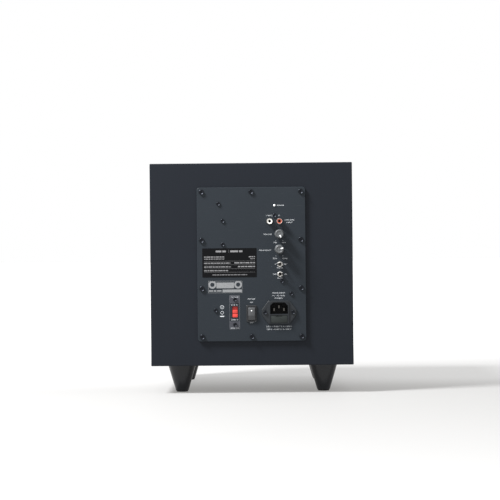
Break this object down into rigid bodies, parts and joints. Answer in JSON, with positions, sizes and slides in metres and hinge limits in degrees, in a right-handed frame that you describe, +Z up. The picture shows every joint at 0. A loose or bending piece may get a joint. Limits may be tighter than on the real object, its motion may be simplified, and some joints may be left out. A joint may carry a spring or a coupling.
{
  "type": "subwoofer",
  "caption": "Cube-shaped active subwoofer on tapered feet, with a front cloth grille and a rear amplifier panel of knobs, toggles, sockets and switches.",
  "frame": {"origin": "centre of the whole box on the surface it stands on, under the feet", "axes": "+Z up; the grille and woofer face -Y and the amplifier panel faces +Y; +X is the right-hand side seen from the front"},
  "size_m": [0.29, 0.3204, 0.33],
  "materials": {
    "cabinet_board": "satin dark slate laminate over board",
    "raw_board": "bare fibreboard",
    "black_moulding": "matte",
    "wadding": "lofty polyester",
    "foot_paint": "satin",
    "rubber": "matte",
    "zinc_steel": "zinc plated",
    "grille_moulding": "matte",
    "grille_cloth": "fine open weave",
    "basket_metal": "black powder coat",
    "foam": "closed-cell foam",
    "black_steel": "black oxide",
    "cone_paper": "pressed paper",
    "dust_cap": "pressed paper, satin",
    "surround_rubber": "satin",
    "spider_cloth": "treated cotton",
    "coil_metal": "wound",
    "ferrite": "sintered",
    "phenolic": "laminate",
    "panel_paint": "fine matt powder coat",
    "label_film": "satin film",
    "led_lens": "clear water lens",
    "nickel": "nickel plate",
    "rca_white": "moulded",
    "rca_red": "moulded",
    "knob_plastic": "satin",
    "selector_red": "moulded",
    "switch_moulding": "satin",
    "rocker_plastic": "satin",
    "drawer_moulding": "satin",
    "fuse_glass": "clear",
    "brass": "plated",
    "circuit_board": "solder mask",
    "capacitor_sleeve": "sleeve",
    "heatsink_aluminium": "extruded",
    "transformer_steel": "varnished laminations",
    "lead_rubber": "insulation"
  },
  "bodies": {
    "cabinet": {"cabinet_top": "cabinet_board", "cabinet_bottom": "cabinet_board", "cabinet_left": "cabinet_board", "cabinet_right": "cabinet_board", "front_baffle": "cabinet_board", "rear_board": "cabinet_board", "cabinet_brace": "raw_board", "port_tube": "black_moulding", "acoustic_wadding": "wadding", "feet": "foot_paint", "foot_pads": "rubber", "foot_screws": "zinc_steel", "grille_cups": "rubber", "woofer_basket": "basket_metal", "woofer_gasket": "foam", "woofer_screws": "black_steel", "woofer_surround": "surround_rubber", "woofer_spider": "spider_cloth", "woofer_top_plate": "zinc_steel", "woofer_magnet": "ferrite", "woofer_yoke": "zinc_steel", "woofer_terminals": "phenolic", "amp_gasket": "foam", "amp_panel": "panel_paint", "panel_screws": "black_steel", "module_screws": "black_steel", "rating_label": "label_film", "power_led": "led_lens", "rca_block": "black_moulding", "rca_shells": "nickel", "rca_white_insert": "rca_white", "rca_red_insert": "rca_red", "control_pots": "nickel", "control_nuts": "nickel", "toggle_bodies": "nickel", "voltage_switch": "black_moulding", "power_switch": "switch_moulding", "inlet_housing": "switch_moulding", "inlet_pins": "nickel", "pcb_spacers": "brass", "main_pcb": "circuit_board", "capacitors": "capacitor_sleeve", "heatsink": "heatsink_aluminium", "transformer": "transformer_steel", "speaker_leads": "lead_rubber"},
    "volume_control": {"volume_shaft": "zinc_steel", "volume_knob": "knob_plastic"},
    "frequency_control": {"frequency_shaft": "zinc_steel", "frequency_knob": "knob_plastic"},
    "phase_toggle": {"phase_lever": "nickel"},
    "auto_toggle": {"auto_lever": "nickel"},
    "rocker": {"power_rocker": "rocker_plastic"},
    "selector": {"voltage_slider": "selector_red"},
    "drawer": {"fuse_drawer": "drawer_moulding", "fuse": "fuse_glass"},
    "grille": {"grille_frame": "grille_moulding", "grille_cloth": "grille_cloth"},
    "cone": {"woofer_cone": "cone_paper", "woofer_dust_cap": "dust_cap", "voice_coil": "coil_metal"}
  },
  "joints": [
    {"name": "volume_turn", "type": "hinge", "parent": "cabinet", "child": "volume_control", "pos_m": [-0.04, 0.14825, 0.2279], "axis": [0, -1, 0], "range_deg": [-300, 0]},
    {"name": "frequency_turn", "type": "hinge", "parent": "cabinet", "child": "frequency_control", "pos_m": [-0.04, 0.14825, 0.2059], "axis": [0, -1, 0], "range_deg": [-220, 80]},
    {"name": "phase_flip", "type": "hinge", "parent": "cabinet", "child": "phase_toggle", "pos_m": [-0.0406, 0.14575, 0.1846], "axis": [0, 0, 1], "range_deg": [0, 24]},
    {"name": "auto_flip", "type": "hinge", "parent": "cabinet", "child": "auto_toggle", "pos_m": [-0.0406, 0.14575, 0.1705], "axis": [0, 0, -1], "range_deg": [0, 24]},
    {"name": "power_rock", "type": "hinge", "parent": "cabinet", "child": "rocker", "pos_m": [0.0005, 0.14375, 0.1143], "axis": [1, 0, 0], "range_deg": [0, 22]},
    {"name": "voltage_slide", "type": "slide", "parent": "cabinet", "child": "selector", "axis": [0, 0, 1], "range_m": [0, 0.0046]},
    {"name": "fuse_drawer_pull", "type": "slide", "parent": "cabinet", "child": "drawer", "axis": [0, 1, 0], "range_m": [0, 0.02]},
    {"name": "grille_pull", "type": "slide", "parent": "cabinet", "child": "grille", "axis": [0, -1, 0], "range_m": [0, 0.06]},
    {"name": "cone_stroke", "type": "slide", "parent": "cabinet", "child": "cone", "axis": [0, 1, 0], "range_m": [-0.006, 0.006], "stiffness_N_per_m": 1500, "deforming": ["woofer_surround", "woofer_spider"]}
  ]
}
